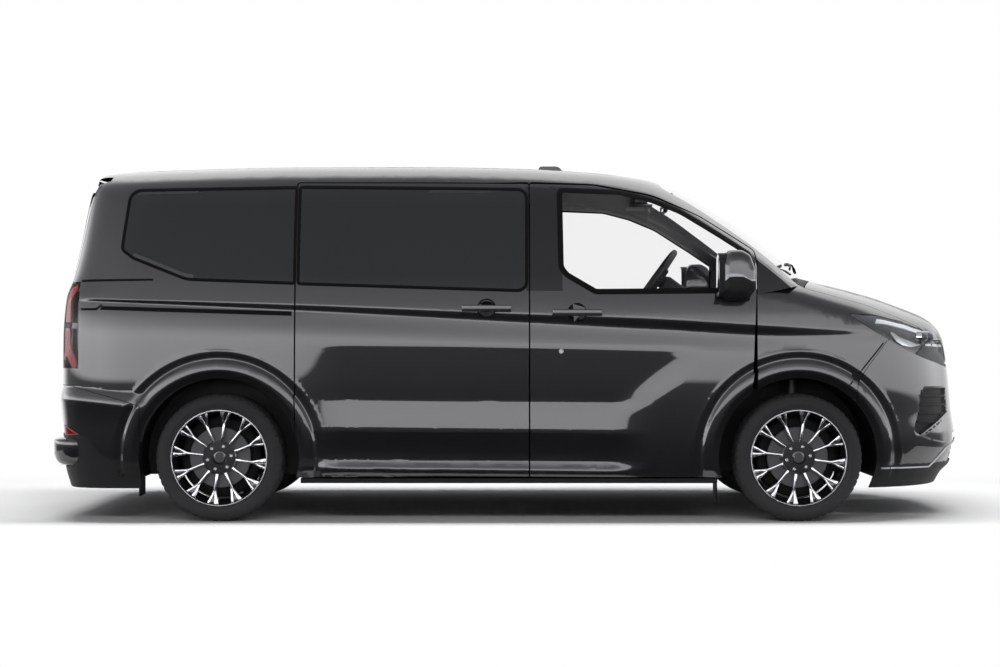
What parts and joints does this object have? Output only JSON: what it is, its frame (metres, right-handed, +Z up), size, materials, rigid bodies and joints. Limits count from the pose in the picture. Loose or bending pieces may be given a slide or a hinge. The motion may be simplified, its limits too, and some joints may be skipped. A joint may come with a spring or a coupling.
{
  "type": "minibus",
  "caption": "Minibus with glazed sides, hinged front doors, bonnet and tailgate, three rows of seats, and steered and rolling wheels.",
  "frame": {"origin": "on the ground, midway along the vehicle's length and width", "axes": "+X towards the front, +Y to the left, +Z up"},
  "size_m": [5.0462, 2.274, 1.979],
  "materials": {
    "paint": "metallic dark grey",
    "glass": "clear tinted",
    "dark_glass": "dark tinted",
    "black_plastic": "moulded black",
    "lamp": "clear lamp",
    "red_lamp": "red lamp",
    "trim": "dark grey trim",
    "seat_cloth": "woven dark grey",
    "steel": "black chassis paint",
    "iron": "cast",
    "alloy": "machined alloy",
    "tyre": "black rubber"
  },
  "bodies": {
    "body": {"arch_liners": "black_plastic", "body_side_left": "paint", "body_side_right": "paint", "cowl_panel": "black_plastic", "dashboard": "trim", "engine_block": "iron", "exhaust": "steel", "floor_pan": "steel", "front_bulkhead": "steel", "front_bumper": "paint", "front_seats": "seat_cloth", "front_subframe": "steel", "fuel_tank": "steel", "grille": "black_plastic", "headlamps": "lamp", "leaf_springs": "steel", "middle_seats": "seat_cloth", "mud_flaps": "black_plastic", "radiator": "steel", "rear_axle": "steel", "rear_bumper": "paint", "rear_seats": "seat_cloth", "roof_aerial": "black_plastic", "roof_panel": "paint", "sail_panels": "black_plastic", "side_windows": "dark_glass", "sills": "black_plastic", "sliding_door_left": "paint", "sliding_door_right": "paint", "steering_column": "trim", "tail_lamps": "red_lamp", "windscreen": "glass", "wing_left": "paint", "wing_right": "paint"},
    "front_door_right": {"front_door_right": "paint", "front_door_glass_right": "glass", "mirror_right": "paint"},
    "front_door_left": {"front_door_left": "paint", "front_door_glass_left": "glass", "mirror_left": "paint"},
    "tailgate": {"tailgate": "paint", "tailgate_glass": "dark_glass"},
    "bonnet": {"bonnet": "paint"},
    "knuckle_right": {"knuckle_right": "steel"},
    "knuckle_left": {"knuckle_left": "steel"},
    "front_wheel_right": {"front_wheel_right": "alloy", "front_tyre_right": "tyre"},
    "front_wheel_left": {"front_wheel_left": "alloy", "front_tyre_left": "tyre"},
    "rear_wheel_right": {"rear_wheel_right": "alloy", "rear_tyre_right": "tyre"},
    "rear_wheel_left": {"rear_wheel_left": "alloy", "rear_tyre_left": "tyre"},
    "steering_wheel": {"steering_wheel": "trim"}
  },
  "joints": [
    {"name": "front_door_right_hinge", "type": "hinge", "parent": "body", "child": "front_door_right", "pos_m": [1.303, -1.012, 0.8], "axis": [0, 0, 1], "range_deg": [0, 65]},
    {"name": "front_door_left_hinge", "type": "hinge", "parent": "body", "child": "front_door_left", "pos_m": [1.303, 1.012, 0.8], "axis": [0, 0, -1], "range_deg": [0, 65]},
    {"name": "tailgate_hinge", "type": "hinge", "parent": "body", "child": "tailgate", "pos_m": [-2.292, 0, 1.884], "axis": [0, 1, 0], "range_deg": [0, 85]},
    {"name": "bonnet_hinge", "type": "hinge", "parent": "body", "child": "bonnet", "pos_m": [1.5, 0, 1.262], "axis": [0, -1, 0], "range_deg": [0, 48]},
    {"name": "steering_right", "type": "hinge", "parent": "body", "child": "knuckle_right", "pos_m": [1.525, -0.77, 0.341], "axis": [0, 0, 1], "range_deg": [-35, 35]},
    {"name": "steering_left", "type": "hinge", "parent": "body", "child": "knuckle_left", "pos_m": [1.525, 0.77, 0.341], "axis": [0, 0, 1], "range_deg": [-35, 35]},
    {"name": "front_wheel_right_spin", "type": "hinge", "parent": "knuckle_right", "child": "front_wheel_right", "pos_m": [1.525, -0.8545, 0.341], "axis": [0, 1, 0], "continuous": true},
    {"name": "front_wheel_left_spin", "type": "hinge", "parent": "knuckle_left", "child": "front_wheel_left", "pos_m": [1.525, 0.8545, 0.341], "axis": [0, 1, 0], "continuous": true},
    {"name": "rear_wheel_right_spin", "type": "hinge", "parent": "body", "child": "rear_wheel_right", "pos_m": [-1.575, -0.8545, 0.341], "axis": [0, 1, 0], "continuous": true},
    {"name": "rear_wheel_left_spin", "type": "hinge", "parent": "body", "child": "rear_wheel_left", "pos_m": [-1.575, 0.8545, 0.341], "axis": [0, 1, 0], "continuous": true},
    {"name": "steering_wheel_turn", "type": "hinge", "parent": "body", "child": "steering_wheel", "pos_m": [0.808, -0.4, 1.323], "axis": [-0.8089, 0, 0.588], "range_deg": [-490, 490]}
  ],
  "couplings": [
    {"joint": "steering_left", "follows": "steering_right", "ratio": 1},
    {"joint": "steering_wheel_turn", "follows": "steering_right", "ratio": 14}
  ]
}
